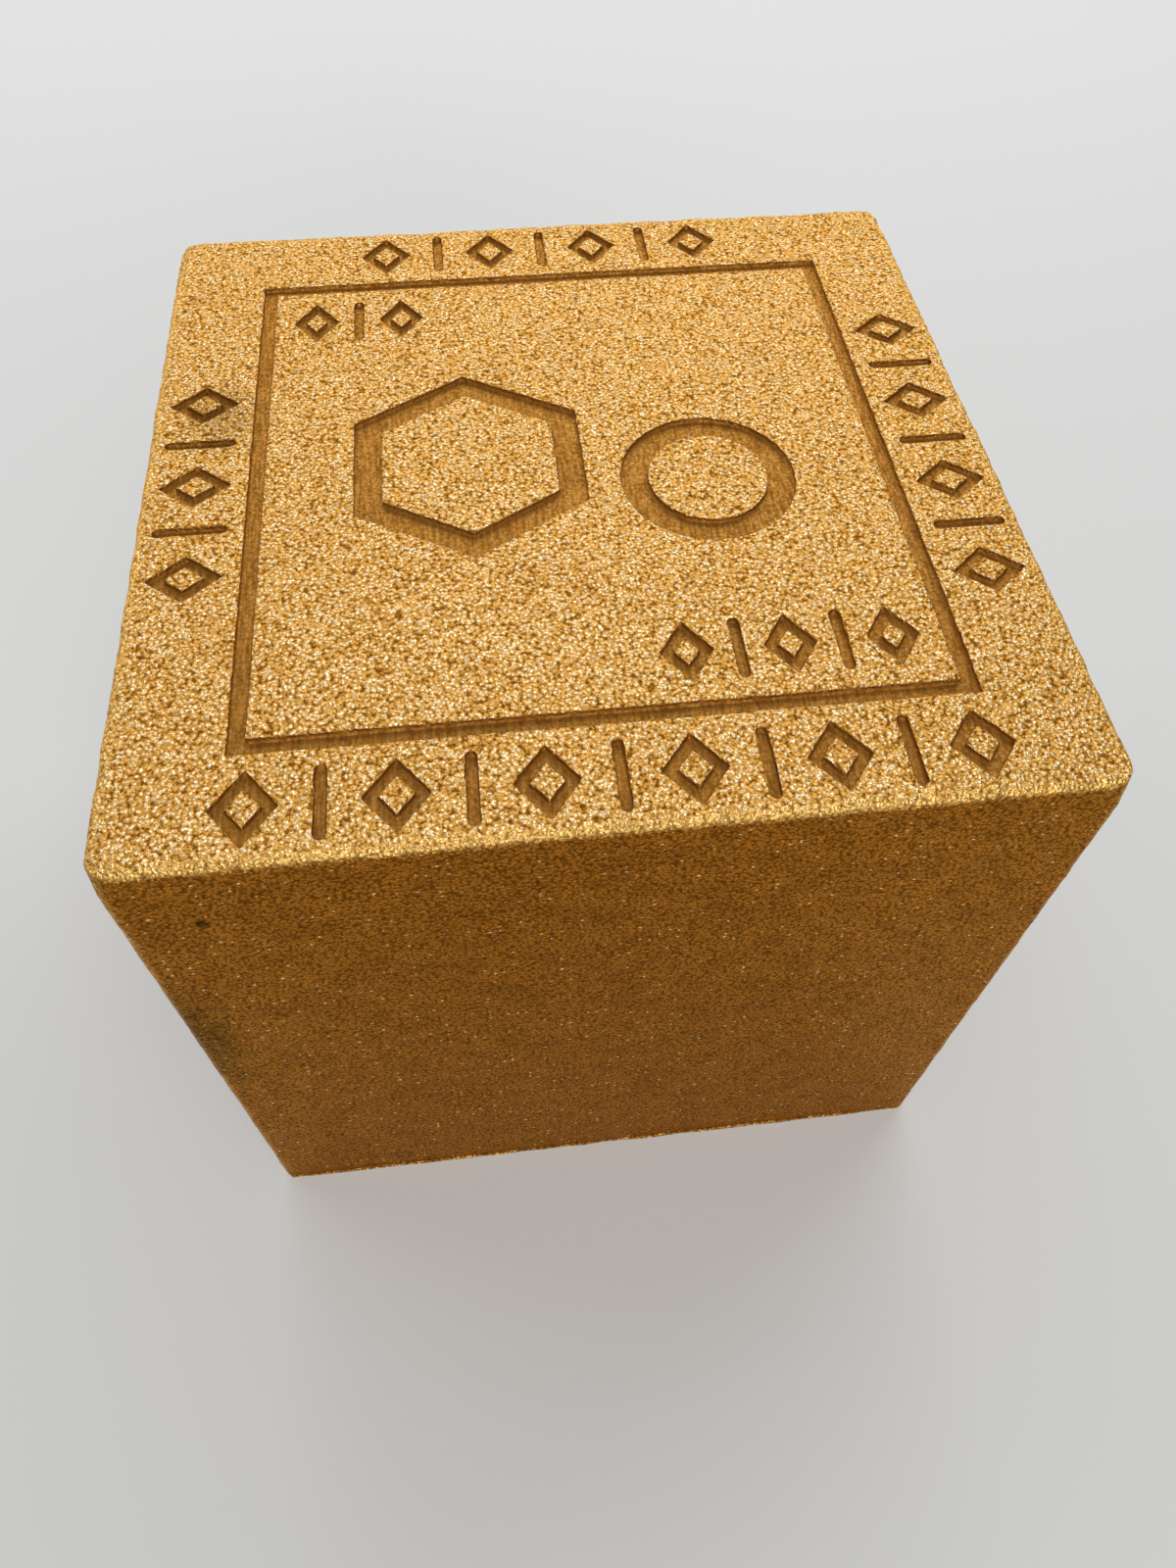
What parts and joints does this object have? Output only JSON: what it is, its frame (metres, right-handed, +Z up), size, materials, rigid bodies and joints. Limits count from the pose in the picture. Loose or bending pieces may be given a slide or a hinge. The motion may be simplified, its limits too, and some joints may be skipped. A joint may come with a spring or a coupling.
{
  "type": "copper ingot",
  "caption": "Cube-shaped cast copper ingot with rounded edges and a grainy skin; its top face is engraved with a square frame and plain geometric marks.",
  "frame": {"origin": "centre of the flat base, on the surface that the ingot stands on", "axes": "+Z up through the engraved top face; -Y out of the front face, from which the engraving stands upright; +X to the right"},
  "size_m": [0.0636, 0.0636, 0.0635],
  "materials": {
    "cast_copper": "satin"
  },
  "bodies": {
    "root": {"ingot": "cast_copper"}
  },
  "joints": []
}
